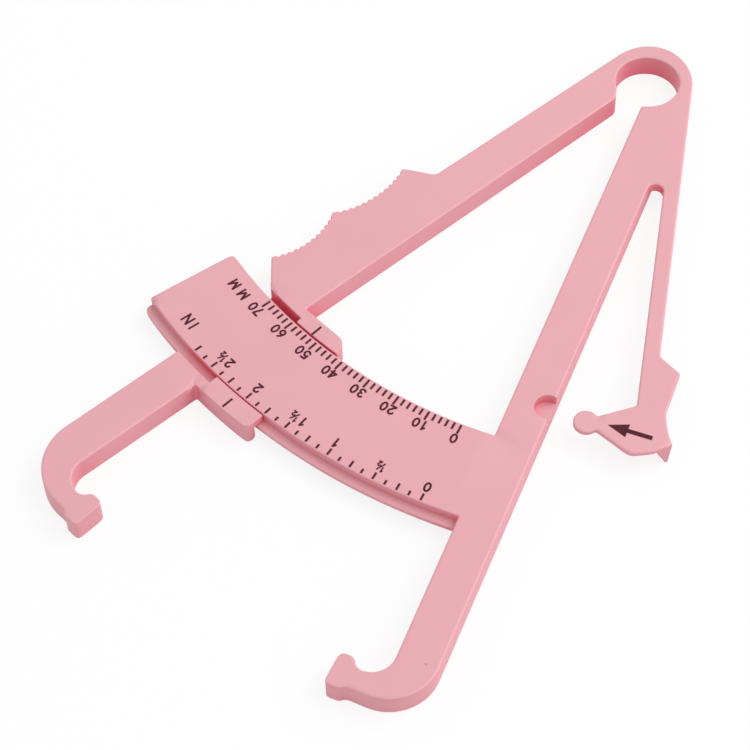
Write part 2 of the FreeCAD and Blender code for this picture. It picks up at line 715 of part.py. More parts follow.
wedge_level = "thumb_peak_y - wedge_reach"
wedge_end = ("thumb_peak_x + head_shoulder * wedge_reach / head_shoulder_fall", wedge_level)
thumb_wedge = member("thumb_wedge", LEVER_FRAME, [
    (("thumb_dip_x", wedge_level), LINE),
    (wedge_end, LINE),
    (thumb_peak, arc("thumb_seat_radius", 1)),
    (thumb_dip, LINE),
], high="full_depth - lever_depth")[0]
slope_sketch = new_sketch(thumb_wedge, "wedge_slope", plane="YZ_Plane", level="strip_end")
wedge_ridge = "thumb_peak_y - wedge_ridge"
wedge_far = "thumb_peak_y - 2 * wedge_reach"
draw(slope_sketch, [
    ((wedge_ridge, "0"), LINE),
    ((wedge_level, "full_depth - lever_depth"), LINE),
    ((wedge_far, "full_depth - lever_depth"), LINE),
    ((wedge_far, "0 - full_depth"), LINE),
    ((wedge_ridge, "0 - full_depth"), LINE),
])
slope_cut = thumb_wedge.newObject("PartDesign::Pocket", "wedge_slope_cut")
slope_cut.Profile = slope_sketch
slope_cut.Type = "ThroughAll"
slope_cut.Reversed = True
thumb_wedge.Tip = slope_cut

member("click_ball", LEVER_FRAME, [
    (neck_left, arc("ball_radius", -1, longer=True)),
    (neck_right, LINE),
], low="full_depth - lever_depth")

# ---------------------------------------------------------------------------
# Printed marks: graduations, pointer lines and the press arrow
# ---------------------------------------------------------------------------


def tick(name, start, length, angle):
    """One printed line: a thin block along a ray of the scale, centred on the ray."""
    block = doc.addObject("Part::Box", name)
    block.setExpression("Length", bound(length))
    block.setExpression("Width", bound("tick_width"))
    block.setExpression("Height", bound("ink_height"))
    block.setExpression("Placement.Rotation.Angle", bound(f"({angle}) * 1 deg"))
    corner = beside(("0", "0"), angle, start, "0 - tick_width / 2")
    block.setExpression("Placement.Base.x", bound(corner[0]))
    block.setExpression("Placement.Base.y", bound(corner[1]))
    block.setExpression("Placement.Base.z", bound("full_depth"))
    return block


def graduations(name, ticks):
    """A printed row of ticks as one sub-part of separate thin solids."""
    group = doc.addObject("Part::Compound", name)
    group.Label = name
    group.Links = ticks
    place(group, SCALE_FRAME)


mm_ticks = []
for index in range(int(value("floor(scale_millimetres / mm_step + 0.001)")) + 1):
    is_long = index % TICKS_PER_CENTIMETRE == 0
    mm_ticks.append(tick(
        f"mm_tick_{index}", "scale_inner_radius + mm_tick_margin",
        "mm_tick_long" if is_long else "mm_tick_short",
        f"0 - {index} * mm_step * degrees_per_mm"))
graduations("mm_graduations", mm_ticks)

inch_ticks = []
for index in range(int(value(f"floor(scale_millimetres * {TICKS_PER_INCH} / {MM_PER_INCH})")) + 1):
    length = "inch_tick_long" if index % 2 == 0 else "inch_tick_short"
    inch_ticks.append(tick(
        f"inch_tick_{index}", f"scale_outer_radius - inch_tick_margin - {length}", length,
        f"0 - {index} * {MM_PER_INCH} / {TICKS_PER_INCH} * degrees_per_mm"))
graduations("inch_graduations", inch_ticks)

for name, start in (("mm_pointer_line", "tab_inner_radius - pointer_line"),
                    ("inch_pointer_line", "wall_outer_radius - inch_lip_gap - pointer_line")):
    member(name, POINTER_FRAME, [
        ((start, "0 - tick_width / 2"), LINE),
        ((f"{start} + pointer_line", "0 - tick_width / 2"), LINE),
        ((f"{start} + pointer_line", "tick_width / 2"), LINE),
        ((start, "tick_width / 2"), LINE),
    ], low="full_depth", high="full_depth + ink_height")

arrow_origin = beside(lever_origin, "lever_angle", "strip_end + arrow_start", "arrow_rise")
arrow_neck = "arrow_length - arrow_head_length"
member("force_arrow", ("lever_angle + arrow_turn", arrow_origin), [
    (("0", "0 - arrow_shaft / 2"), LINE),
    ((arrow_neck, "0 - arrow_shaft / 2"), LINE),
    ((arrow_neck, "0 - arrow_head_width / 2"), LINE),
    (("arrow_length", "0"), LINE),
    ((arrow_neck, "arrow_head_width / 2"), LINE),
    ((arrow_neck, "arrow_shaft / 2"), LINE),
    (("0", "arrow_shaft / 2"), LINE),
], low="full_depth", high="full_depth + ink_height")

# ---------------------------------------------------------------------------
# Check every object, then write one file for each sub-part
# ---------------------------------------------------------------------------
doc.recompute()
for item in doc.Objects:
    if "Invalid" in item.State or "Error" in item.State:
        raise RuntimeError(f"{item.Name} did not recompute: {item.State}")

sub_parts = [item for item in doc.Objects
             if item.TypeId in ("PartDesign::Body", "Part::Compound")]
for item in sub_parts:
    if item.Shape.isNull() or not item.Shape.isValid() or not item.Shape.Solids:
        raise RuntimeError(f"{item.Label} has no valid solid")

os.makedirs("parts", exist_ok=True)
for item in sub_parts:
    item.Shape.exportStep(f"parts/{item.Label}.step")
    box = item.Shape.BoundBox
    print(f"{item.Label:20s} {len(item.Shape.Solids):3d} solids {item.Shape.Volume:9.2f} mm3"
          f"  x {box.XMin:7.2f} {box.XMax:7.2f}  y {box.YMin:7.2f} {box.YMax:7.2f}"
          f"  z {box.ZMin:5.2f} {box.ZMax:5.2f}")
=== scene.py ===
# %% [markdown]
# # A skinfold caliper
#
# The caliper is one flat piece of springy pink plastic, shot in a single mould. Two arms meet in a ring
# that works as the spring, a thin lever with a ball clicks into a notch at the right force, and a curved
# plate carries a millimetre and an inch scale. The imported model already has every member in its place.
# What it lacks is what a mould gives a real part: edges that are softly crowned, corners that are never
# quite sharp, and a satin skin with a fine grain.

# %% Load the frame
import math

import bmesh
import bpy
import numpy as np
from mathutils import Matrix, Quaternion, Vector
from mathutils.geometry import delaunay_2d_cdt


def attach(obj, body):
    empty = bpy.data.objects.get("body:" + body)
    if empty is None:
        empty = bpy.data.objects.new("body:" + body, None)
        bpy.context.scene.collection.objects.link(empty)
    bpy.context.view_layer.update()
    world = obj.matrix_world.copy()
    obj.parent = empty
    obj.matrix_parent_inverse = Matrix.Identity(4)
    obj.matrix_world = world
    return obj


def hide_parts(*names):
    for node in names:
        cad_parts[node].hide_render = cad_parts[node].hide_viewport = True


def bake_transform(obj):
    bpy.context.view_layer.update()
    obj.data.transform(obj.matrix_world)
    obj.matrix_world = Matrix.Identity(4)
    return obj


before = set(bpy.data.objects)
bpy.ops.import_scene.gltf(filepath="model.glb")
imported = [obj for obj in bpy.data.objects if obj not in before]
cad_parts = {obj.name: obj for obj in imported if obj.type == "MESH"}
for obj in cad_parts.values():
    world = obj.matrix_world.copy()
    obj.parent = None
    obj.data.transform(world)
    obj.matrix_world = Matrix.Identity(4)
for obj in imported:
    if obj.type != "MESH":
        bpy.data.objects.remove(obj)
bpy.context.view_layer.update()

print("nodes:", len(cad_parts))

# %% [markdown]
# ## Drawing in millimetres
#
# Both arms and the scale are laid out round one point, the centre of the scale's arcs, as a draughtsman
# would lay them out. So every outline here is drawn in millimetres about that centre, and only the
# finished mesh is moved to the caliper's own origin, in the middle of the hanging hole. A straight edge
# is its angle with its distance to the left of the centre, which makes parallel edges and crossings easy.

# %% Rays, edges and crossings
BORE = np.array([10.7, -0.43])
FULL = 5.2
print(f"the arcs' centre lies {np.hypot(*BORE):.2f} mm from the middle of the hanging hole")


def ray(degrees):
    """The unit vector at an angle: (cos a, sin a)."""
    return np.array([math.cos(math.radians(degrees)), math.sin(math.radians(degrees))])


def edge_past(angle, point, left):
    """A straight edge at an angle that passes this far to the left of a point: (a, n . p + left)."""
    return angle, ray(angle + 90) @ point + left


def moved(edge, left):
    """The same edge, further to its left."""
    return edge[0], edge[1] + left


def crossing(first, second):
    """Where two edges meet: the p that solves n1 . p = o1 and n2 . p = o2."""
    return np.linalg.solve([ray(first[0] + 90), ray(second[0] + 90)], [first[1], second[1]])


def on_circle(edge, radius):
    """Where an edge leaves a circle round the centre: sqrt(r^2 - o^2) along it and o to its left."""
    angle, offset = edge
    return math.sqrt(radius ** 2 - offset ** 2) * ray(angle) + offset * ray(angle + 90)


def at_height(radius, height):
    """The point of a circle round the centre with this y: (sqrt(r^2 - y^2), y)."""
    return np.array([math.sqrt(radius ** 2 - height ** 2), height])


def y_on(edge, x):
    """The y of an edge at x: (o + x sin a) / cos a."""
    return (edge[1] + x * ray(edge[0])[1]) / ray(edge[0])[0]


def turn_of(point):
    """The angle of a point about the centre."""
    return math.degrees(math.atan2(point[1], point[0]))


def seated(outline, angle, origin=(0.0, 0.0)):
    """An outline turned by an angle and moved to an origin: o + x (cos a, sin a) + y (-sin a, cos a)."""
    placed = outline.copy()
    placed[:, :2] = np.asarray(origin) + outline[:, :1] * ray(angle) + outline[:, 1:2] * ray(angle + 90)
    return placed


# %% [markdown]
# ## Outlines with soft corners
#
# An outline is a table with a row for each corner: x, y, how soft the corner is, and how wide the crown
# is on the run that starts there. A run with no crown is a seam, where another piece carries on. Filleting
# arc against line by hand takes a page of geometry, so the corners are softened by diffusion instead: the
# outline is walked in small even steps, and each pass draws every point towards its neighbours, more
# where the corner is softer. Straight runs and wide arcs hardly move, and corners come out round.

# %% Corners, arcs and the softened outline
STEP = 0.12


def corner(point, soft=0.3, crown=1.0):
    """One row of an outline."""
    return np.array([[point[0], point[1], soft, crown]])


def arc(centre, radius, start, end, crown=1.0, soft=0.3, after=1.0):
    """A run round a centre, c + r (cos a, sin a), with both ends softened; after is the next run's crown."""
    count = max(int(abs(math.radians(end - start)) * radius / STEP), 2)
    angles = np.radians(np.linspace(start, end, count + 1))
    rows = np.zeros((count + 1, 4))
    rows[:, 0] = centre[0] + radius * np.cos(angles)
    rows[:, 1] = centre[1] + radius * np.sin(angles)
    rows[[0, -1], 2] = soft
    rows[:-1, 3] = crown
    rows[-1, 3] = after
    return rows


def soften(rows, turn=6.0, reach=1.5):
    """Round the corners of a closed outline, then keep only the points that its shape needs.

    Each of n passes moves a point by k times the gap to the middle of its neighbours. That spreads a
    corner over a length s = step sqrt(2 k n), so k = (s / step)^2 / 2n within 3 s of a corner of
    softness s. A point is kept wherever the outline has turned or run on far enough since the last.
    """
    ahead = np.roll(rows, -1, axis=0)
    lengths = np.hypot(*(ahead - rows)[:, :2].T)
    rows, ahead, lengths = rows[lengths > 1e-9], ahead[lengths > 1e-9], lengths[lengths > 1e-9]
    counts = np.maximum(np.round(lengths / STEP).astype(int), 1)
    run = np.repeat(np.arange(len(rows)), counts)
    share = (np.arange(counts.sum()) - np.repeat(np.cumsum(counts) - counts, counts)) / counts[run]
    points = rows[run, :2] + share[:, None] * (ahead - rows)[run, :2]
    crown = rows[run, 3]
    starts = np.cumsum(lengths) - lengths
    along = starts[run] + share * lengths[run]
    total = lengths.sum()
    soft = rows[:, 2] > 0
    gap = np.abs(along[:, None] - starts[soft])
    gap = np.minimum(gap, total - gap)
    spread = np.where(gap < 3 * rows[soft, 2], rows[soft, 2], 0).max(axis=1)
    pinned = np.flatnonzero((rows[:, 2] == 0) & ((rows[:, 3] == 0) | (np.roll(rows[:, 3], 1) == 0)))
    pin_gap = np.abs(along[:, None] - starts[pinned]).min(axis=1, initial=total)
    spread = np.minimum(spread, pin_gap / 3)
    passes = int(np.ceil((spread.max() / STEP) ** 2 / 0.5))
    pull = ((spread / STEP) ** 2 / (2 * passes))[:, None]
    for _ in range(passes):
        points = points + pull * (np.roll(points, 1, axis=0) + np.roll(points, -1, axis=0) - 2 * points)
    seam = crown == 0
    for _ in range(int(reach / STEP) ** 2 // 8):
        mean = (np.roll(crown, 1) + np.roll(crown, -1) + 2 * crown) / 4
        beside_seam = seam | np.roll(seam, 1) | np.roll(seam, -1)
        crown = np.where(beside_seam, crown, mean)
    step_on = np.roll(points, -1, axis=0) - points
    heading = np.arctan2(step_on[:, 1], step_on[:, 0])
    bend = np.abs((heading - np.roll(heading, 1) + np.pi) % (2 * np.pi) - np.pi)
    count_up = np.cumsum(np.degrees(bend) / turn + np.hypot(*step_on.T) / reach)
    first = np.cumsum(counts) - counts
    restart = np.zeros(len(points), dtype=bool)
    restart[first[soft]] = True
    restart[first[pinned]] = True
    count_up -= np.maximum.accumulate(np.where(restart, count_up, 0))
    keep = restart | (np.floor(count_up) > np.floor(np.roll(count_up, 1)))
    return np.column_stack([points[keep], crown[keep]])


# %% [markdown]
# ## Crowned slabs
#
# A moulded edge is never sharp: the flat face curves down into the side wall over a few tenths of a
# millimetre. A Bevel modifier could do it, but it stumbles over small teeth and over seams that have to
# stay square. Here the height of a face is a function of one number, the distance to the nearest edge.
# Points are laid in rows beside the outline, those that stand nearer to some other edge are dropped, and
# a Delaunay triangulation joins the rest. Slabs of different outlines, stacked, make the steps of the
# real moulding.

# %% The height of a crowned face
PHASES = np.radians(np.linspace(0, 90, 7))
INSETS = 1 - np.cos(PHASES)
DROPS = 1 - np.sin(PHASES)
INNER = 1.15
print("points stand beside an edge at these shares of the crown's width:", INSETS[1:].round(2), "and", INNER)


def nearest_share(points, outline):
    """The distance to the outline's crowned runs as a share of their width, and that width.

    The foot on a run is s + clip((p - s) . d / d . d, 0, 1) d, and the run with the least
    |p - foot| / width counts.
    """
    free = outline[:, 2] > 0
    start, width = outline[free, :2], outline[free, 2]
    span = (np.roll(outline[:, :2], -1, axis=0) - outline[:, :2])[free]
    gap = points[:, None] - start[None]
    along = np.clip((gap * span).sum(axis=2) / (span ** 2).sum(axis=1), 0, 1)
    away = gap - along[..., None] * span
    share = np.hypot(away[..., 0], away[..., 1]) / width
    pick = share.argmin(axis=1)
    return share[np.arange(len(points)), pick], width[pick]


def inside(points, outline):
    """Whether points lie inside: a ray to the right of each crosses the outline an odd number of times."""
    x, y = points[:, :1], points[:, 1:]
    x0, y0 = outline[:, 0], outline[:, 1]
    x1, y1 = np.roll(x0, -1), np.roll(y0, -1)
    rise = np.where(y1 == y0, 1, y1 - y0)
    crosses = ((y0 > y) != (y1 > y)) & (x < x0 + (y - y0) * (x1 - x0) / rise)
    return crosses.sum(axis=1) % 2 == 1


def rows_beside(outline):
    """Rows of points inside the outline: p + share * width * n, kept where no other edge is nearer."""
    points, width = outline[:, :2], outline[:, 2]
    span = np.roll(points, -1, axis=0) - points
    left = np.column_stack([-span[:, 1], span[:, 0]]) / np.hypot(*span.T)[:, None]
    both = (width > 0) & (np.roll(width, 1) > 0)
    normal = (left + np.roll(left, 1, axis=0))[both]
    normal /= np.hypot(*normal.T)[:, None]
    kept = []
    for share in [*INSETS[1:], INNER]:
        spots = points[both] + share * width[both, None] * normal
        kept.append(spots[inside(spots, outline) & (nearest_share(spots, outline)[0] > 0.99 * share)])
    return np.concatenate(kept)


def cap(outline, face, way, crown, more=None):
    """The points and triangles of a face with a crowned edge, the outline's own points first.

    way is 1 where the face looks up and -1 where it looks down. crown is (scale, height / width): the
    height is face - way * steepness * width * (1 - sqrt(s (2 - s))), s being the share of the crown's
    width from the nearest edge, up to 1. With no crown the edge stays square. face may be a function of
    the points, for a face that slopes, and more gives it points of its own.
    """
    flat = outline[:, :2]
    scale, steepness = crown or (1, 0)
    wide = outline * [1, 1, scale]
    if crown:
        inner = rows_beside(wide)
        _, first = np.unique(np.round(inner / 0.03), axis=0, return_index=True)
        flat = np.concatenate([flat, inner[np.sort(first)]])
    if more is not None:
        flat = np.concatenate([flat, more[inside(more, outline)]])
    share, width = nearest_share(flat, wide)
    share = np.minimum(share, 1)
    level = face(flat) if callable(face) else face
    height = level - way * steepness * width * (1 - np.sqrt(share * (2 - share)))
    sides = np.column_stack([np.arange(len(outline)), np.roll(np.arange(len(outline)), -1)]).tolist()
    _, _, faces, origins, *_ = delaunay_2d_cdt([Vector(spot) for spot in flat.tolist()], sides, [], 1, 1e-6)
    source = np.array([origin[0] for origin in origins])
    faces = source[np.array(faces)]
    a, b, c = (flat[faces[:, k]] for k in range(3))
    turned = ((b - a)[:, 0] * (c - a)[:, 1] - (b - a)[:, 1] * (c - a)[:, 0]) * way < 0
    faces[turned] = faces[turned][:, ::-1]
    return np.column_stack([flat, height]), faces


def slab(outline, low, high, top=None, foot=None, more=None):
    """A closed slab between two heights: a cap above, a cap below and one wall between their outlines."""
    above, above_faces = cap(outline, high, 1, top)
    below, below_faces = cap(outline, low, -1, foot, more)
    rim = np.arange(len(outline))
    after = np.roll(rim, -1)
    base = len(above)
    wall = np.column_stack([base + rim, base + after, after, rim])
    return (np.concatenate([above, below]),
            [*above_faces.tolist(), *(below_faces + base).tolist(), *wall.tolist()])


def seam(start, end, crowns, after=1.0):
    """A seam from point to point, with rows at the crowns' insets from both ends as a band has them."""
    length = np.hypot(*(end - start))
    steps = np.unique([scale * share for scale, _ in crowns for share in (*INSETS, INNER)])
    along = np.concatenate([steps, length - steps[::-1]])
    rows = np.zeros((len(along), 4))
    rows[:, :2] = start + along[:, None] * (end - start) / length
    rows[-1, 3] = after
    return rows


def band(left, right, low, high, top, foot):
    """A crowned section carried from station to station between two edges.

    The section's points lie 1 - cos f of the crown in from each edge and 1 - sin f of its height off
    each face, so it meets a slab with the same crown face to face.
    """
    width = np.hypot(*(right - left).T)[:, None]
    across = (right - left)[:, None] / width[..., None]
    inset = np.concatenate([INSETS, [INNER, INNER], INSETS[::-1]])
    drop = np.concatenate([DROPS, [0, 0], DROPS[::-1]])
    side = np.repeat([0, 1], len(inset) // 2)
    sections = []
    for face, way, (scale, steepness) in ((high, 1, top), (low, -1, foot)):
        reach = side * width + (1 - 2 * side) * scale * inset
        flat = left[:, None] + across * reach[..., None]
        height = np.broadcast_to(face - way * steepness * scale * drop, reach.shape)
        sections.append(np.dstack([flat, height])[:, ::way])
    points = np.concatenate(sections, axis=1)
    count, around = points.shape[:2]
    index = np.arange(count * around).reshape(count, around)
    after = np.roll(index, -1, axis=1)
    quads = np.stack([index[:-1], after[:-1], after[1:], index[1:]], axis=-1).reshape(-1, 4)
    return points.reshape(-1, 3), [*quads.tolist(), index[0, ::-1].tolist(), index[-1].tolist()]


# %% [markdown]
# ## From slabs to a piece
#
# A moulding is one skin round one lump of plastic, so a piece's slabs are fused by Boolean unions before
# its mesh is kept. Slabs that only overlap would look the same, but faces left inside are stray faces in
# anything cut or printed from the mesh. The object stays at the origin, unturned, with its place in the
# mesh, so that a pattern on object coordinates runs on from piece to piece without a break.

# %% Fuse slabs into a piece
WELD = 0.000002
SHARP_FROM = math.radians(38)


def raw(name, points, faces):
    """A mesh object from millimetres about the centre to metres about the caliper's own origin."""
    mesh = bpy.data.meshes.new(name)
    mesh.from_pydata(((points - [*BORE, 0]) * 0.001).tolist(), [], faces)
    thing = bpy.data.objects.new(name, mesh)
    bpy.context.collection.objects.link(thing)
    return thing


def piece(name, *parts):
    """One skin from several closed parts, the first fused with each of the others by a Boolean union."""
    thing, *others = [raw(name, *part) for part in parts]
    for other in others:
        fuse = thing.modifiers.new("fuse", "BOOLEAN")
        fuse.operation = "UNION"
        fuse.solver = "EXACT"
        fuse.object = other
    mesh = bpy.data.meshes.new_from_object(thing.evaluated_get(bpy.context.evaluated_depsgraph_get()))
    for part in (thing, *others):
        bpy.data.meshes.remove(part.data)
    skin = bmesh.new()
    skin.from_mesh(mesh)
    bmesh.ops.remove_doubles(skin, verts=skin.verts, dist=WELD)
    open_edges = sum(not edge.is_manifold for edge in skin.edges)
    skin.to_mesh(mesh)
    skin.free()
    mesh.name = name
    mesh.polygons.foreach_set("use_smooth", np.ones(len(mesh.polygons), dtype=bool))
    mesh.set_sharp_from_angle(angle=SHARP_FROM)
    thing = bpy.data.objects.new(name, mesh)
    bpy.context.collection.objects.link(thing)
    print(f"{name}: {len(mesh.vertices)} points, {len(mesh.polygons)} faces, {open_edges} open edges")
    return thing


# %% [markdown]
# ## The fixed frame
#
# The fixed arm runs from the ring's web to the upper jaw, and carries the scale plate on its side. Seen
# from the face it is all one surface. Below, it steps: the plate is only 3.2 mm thick, the web at the
# root of the lever 2.2 mm, and a rail along the plate's outer edge is lower still. Cutting the steps out
# of a thick slab would need a cutter for each. Stacking storeys, each with its own outline, needs only
# one function, which draws the outline with or without the plate, the root and the notch.

# %% Edges of the fixed arm and the lever
# A crown is a scale on the runs' widths, then its height for its width. Values in _IN, _OUT and _R are
# radii; PLATE_END, PLATE_LEAN and values in _TURN are angles in degrees; the others are lengths.
TOP, FOOT = (0.45, 0.8), (0.25, 1.0)
RING_IN, RING_OUT = 6.35, 9.0
PLATE_IN, PLATE_OUT, RAIL_OUT = 100.8, 119.2, 121.0
PLATE_END, PLATE_LEAN, PLATE_CROWN = -33.3, 0.4, 0.8
ARM_TURN, ARM_LEFT, ARM_WIDE = 3.76, 0.88, 7.8
LEVER_TURN, LEVER_WIDE = 16.5, 3.15
SLOT_R, ROOT_LONG = 1.55, 6.0

fixed_inner = edge_past(ARM_TURN, BORE, ARM_LEFT)
fixed_outer = moved(fixed_inner, ARM_WIDE)
lever_outer = edge_past(LEVER_TURN, BORE, RING_OUT)
lever_inner = moved(lever_outer, -LEVER_WIDE)
slot = crossing(moved(lever_inner, -SLOT_R), moved(fixed_outer, SLOT_R))
root_end = slot @ ray(LEVER_TURN)
step_foot = slot - SLOT_R * ray(ARM_TURN + 90) - ROOT_LONG * ray(ARM_TURN)
step_top = crossing(lever_outer, edge_past(ARM_TURN + 90, step_foot, 0))
print(f"slot ends {root_end:.2f} mm along the lever")


def jaw(inner_edge, outer_edge, up, outer_radius, face):
    """The hook and pad of a jaw, from the arm's inner edge round to its outer edge.

    The hook runs between two arcs that touch the arm's edges, and the pad's face stands a little off the
    zero line. up is 1 for the upper jaw and -1 for the lower, which is nearly the same figure upside down.
    """
    angle = inner_edge[0]
    inner_radius, inner_x, hook_end, back = 4.45, 149.65, 158.1, 3.6
    pad_start, pad_end = 152.3, 159.0
    outer_x = hook_end - outer_radius
    inner_c = np.array([inner_x, y_on(moved(inner_edge, -up * inner_radius), inner_x)])
    outer_c = np.array([outer_x, y_on(moved(outer_edge, -up * outer_radius), outer_x)])
    sink = math.degrees(math.asin((up * back - inner_c[1]) / inner_radius))
    return np.concatenate([
        arc(inner_c, inner_radius, angle + up * 90, sink),
        corner((pad_start, up * back), 1.0, 0.7), corner((pad_start, up * face), 1.0, 0.5),
        corner((pad_end, up * face), 0.6, 0.5), corner((pad_end, up * back), 0.8, 0.7),
        corner((hook_end, up * back), 0.12),
        arc(outer_c, outer_radius, 0, angle + up * 90)])


PIVOT, PIVOT_TO_BALL = np.array([40.3, -LEVER_WIDE / 2]), np.array([52.4, -10.325])
PRESS, NOTCH_R = -8.1, 2.6
lever_origin = lever_outer[1] * ray(LEVER_TURN + 90)
notch = seated(seated(corner(PIVOT_TO_BALL), PRESS, PIVOT), LEVER_TURN, lever_origin)[0, :2]
sunk = math.degrees(math.asin((fixed_outer[1] - ray(ARM_TURN + 90) @ notch) / NOTCH_R))
print("the pressed ball rests at", notch.round(2))


def fixed_outline(plate, root, bite):
    """The fixed frame's outline, with or without the scale plate, the lever's root and the notch."""
    lip = math.degrees(math.asin(ARM_LEFT / RING_IN)) + ARM_TURN
    across = LEVER_TURN + 90
    runs = [seam(BORE + RING_OUT * ray(across), BORE + RING_IN * ray(across), (TOP, FOOT)),
            arc(BORE, RING_IN, across, lip, soft=0), corner(BORE + RING_IN * ray(lip), 0.45)]
    if plate:
        start, end = (turn_of(on_circle(fixed_inner, radius)) for radius in (PLATE_IN, PLATE_OUT))
        runs += [arc((0, 0), PLATE_IN, start, PLATE_END - PLATE_LEAN, PLATE_CROWN, 0.35),
                 corner(PLATE_IN * ray(PLATE_END - PLATE_LEAN), 0.85, PLATE_CROWN),
                 arc((0, 0), PLATE_OUT, PLATE_END, end, 0.6, 0.15)]
    runs += [jaw(fixed_inner, fixed_outer, 1, outer_radius=9.4, face=0.4)]
    if bite:
        runs += [arc(notch, NOTCH_R, ARM_TURN + sunk, ARM_TURN - 180 - sunk, 0.3, 0.2)]
    if root:
        runs += [arc(slot, SLOT_R, ARM_TURN + 270, across, soft=0),
                 seam(slot + SLOT_R * ray(across), slot + (SLOT_R + LEVER_WIDE) * ray(across), (TOP, FOOT)),
                 corner(step_top, 0)]
    else:
        runs += [corner(step_foot, 0.2, 0.6), corner(step_top, 0.2)]
    return soften(np.concatenate(runs))


# %% The fixed frame in three storeys and a rail
PLATE_LOW, ROOT_LOW, RAIL_LOW, RAIL_HIGH = 2.0, 3.0, 2.05, 3.2
RAIL_CROWN = (1, 1)

rail_start = turn_of(on_circle(fixed_inner, RAIL_OUT)) + 0.5
rail = soften(np.concatenate([
    arc((0, 0), PLATE_OUT - 1, rail_start, PLATE_END, 0.3, 0.1, 0.3),
    corner(RAIL_OUT * ray(PLATE_END), 1.3, 0.3),
    arc((0, 0), RAIL_OUT, PLATE_END + 1.3, rail_start, 0.3, 0.2, 0.3)]))
fixed_moulding = piece(
    "fixed_moulding",
    slab(fixed_outline(plate=True, root=True, bite=True), ROOT_LOW, FULL, top=TOP),
    slab(fixed_outline(plate=True, root=False, bite=False), PLATE_LOW, ROOT_LOW),
    slab(fixed_outline(plate=False, root=False, bite=False), 0, PLATE_LOW, foot=FOOT),
    slab(rail, RAIL_LOW, RAIL_HIGH, top=RAIL_CROWN, foot=RAIL_CROWN))

# %% [markdown]
# ## The moving arm
#
# The moving arm is a bar with two serrated hollows for the fingers, a guide that holds the scale plate,
# and a shank with the lower jaw. The guide passes under the plate as a thin bridge, rises past both of
# its edges, and hooks over the rail with a lip. This too is a stack of storeys, whose outlines join the
# same runs in different orders. They are drawn about the same centre, along the ray on which the pointers
# stand, because there the guide lies square, and turned to the arm's reading at the end.

# %% Edges of the moving arm
DEGREES_PER_MM = 26 / 70
READING = 53
REST = READING * DEGREES_PER_MM
BAR_END, TAB_IN, TAB_OUT = 99.25, 97.1, 100.4
LIP_IN, WALL_IN, WALL_OUT = 119.5, 121.4, 123.5
INNER_TURN, INNER_RIGHT, OUTER_TURN, SHANK_WIDE = -4.82, 1.03, -5.6, 8.15

hole = seated(corner(BORE), REST)[0, :2]
moving_inner = edge_past(INNER_TURN, hole, -INNER_RIGHT)
moving_outer = edge_past(OUTER_TURN, hole, -RING_OUT)
shank_outer = moved(moving_inner, -SHANK_WIDE)
print(f"at {READING} mm the moving arm is turned by {REST:.2f} degrees")


def hollow(start, end, radius, teeth=False, crown=1.0):
    """A hollow between two corners, with or without a row of small round grooves across it.

    The arc is c + (r + g) (cos a, sin a) from the far corner round to the near one, and the depth g of
    a groove is max(0, sqrt(q^2 - s^2) - (q - b)) at a distance s along the arc from the groove's middle.
    """
    chord = end - start
    length = np.hypot(*chord)
    inwards = np.array([-chord[1], chord[0]]) / length
    centre = (start + end) / 2 - inwards * math.sqrt(radius ** 2 - length ** 2 / 4)
    half = radius * math.asin(length / 2 / radius)
    along = np.linspace(-half, half, int(2 * half / 0.06))
    depth = np.zeros_like(along)
    if teeth:
        pitch, groove, bite = 1.35, 0.42, 0.32
        count = int((2 * half - 2.0) / pitch) + 1
        place = along / pitch + (count - 1) / 2
        off = (place - np.clip(np.round(place), 0, count - 1)) * pitch
        depth = np.maximum(np.sqrt(np.maximum(groove ** 2 - off ** 2, 0)) - (groove - bite), 0)
        print(f"{count} grooves in a hollow {2 * half:.1f} mm long")
    angles = math.atan2(inwards[1], inwards[0]) - along / radius
    rows = np.full((len(along), 4), [0, 0, 0.06 if teeth else 0, crown])
    rows[:, 0] = centre[0] + (radius + depth) * np.cos(angles)
    rows[:, 1] = centre[1] + (radius + depth) * np.sin(angles)
    return rows


# %% The runs that the storeys of the moving arm share
GRIP_FROM, GRIP_LONG, STEP_LONG, STEP_DEEP = 98.8, 41.09, 3.4, 5.4
BAR_CORNER, BORE_LIP, LIP_REACH = -7.8, -34, 7.6
WALL_TOP, TAB_TOP, TAB_CORNER = 6.6, 6.55, 5.15

grip_x = GRIP_FROM * ray(BAR_CORNER)[0] - GRIP_LONG
grip_top = np.array([grip_x, y_on(moving_outer, grip_x)])
grip_first = grip_top + [STEP_LONG, STEP_LONG * math.tan(math.radians(OUTER_TURN)) - STEP_DEEP]
grip_middle = grip_first + [17.3, -1.9]
grip_last = grip_middle + [15.7, -0.65]
shank_low = on_circle(shank_outer, WALL_IN)
bore_end = hole + RING_IN * ray(BORE_LIP)
lip_end = hole + LIP_REACH * ray(INNER_TURN) - INNER_RIGHT * ray(INNER_TURN + 90)
ring_side = OUTER_TURN - 90

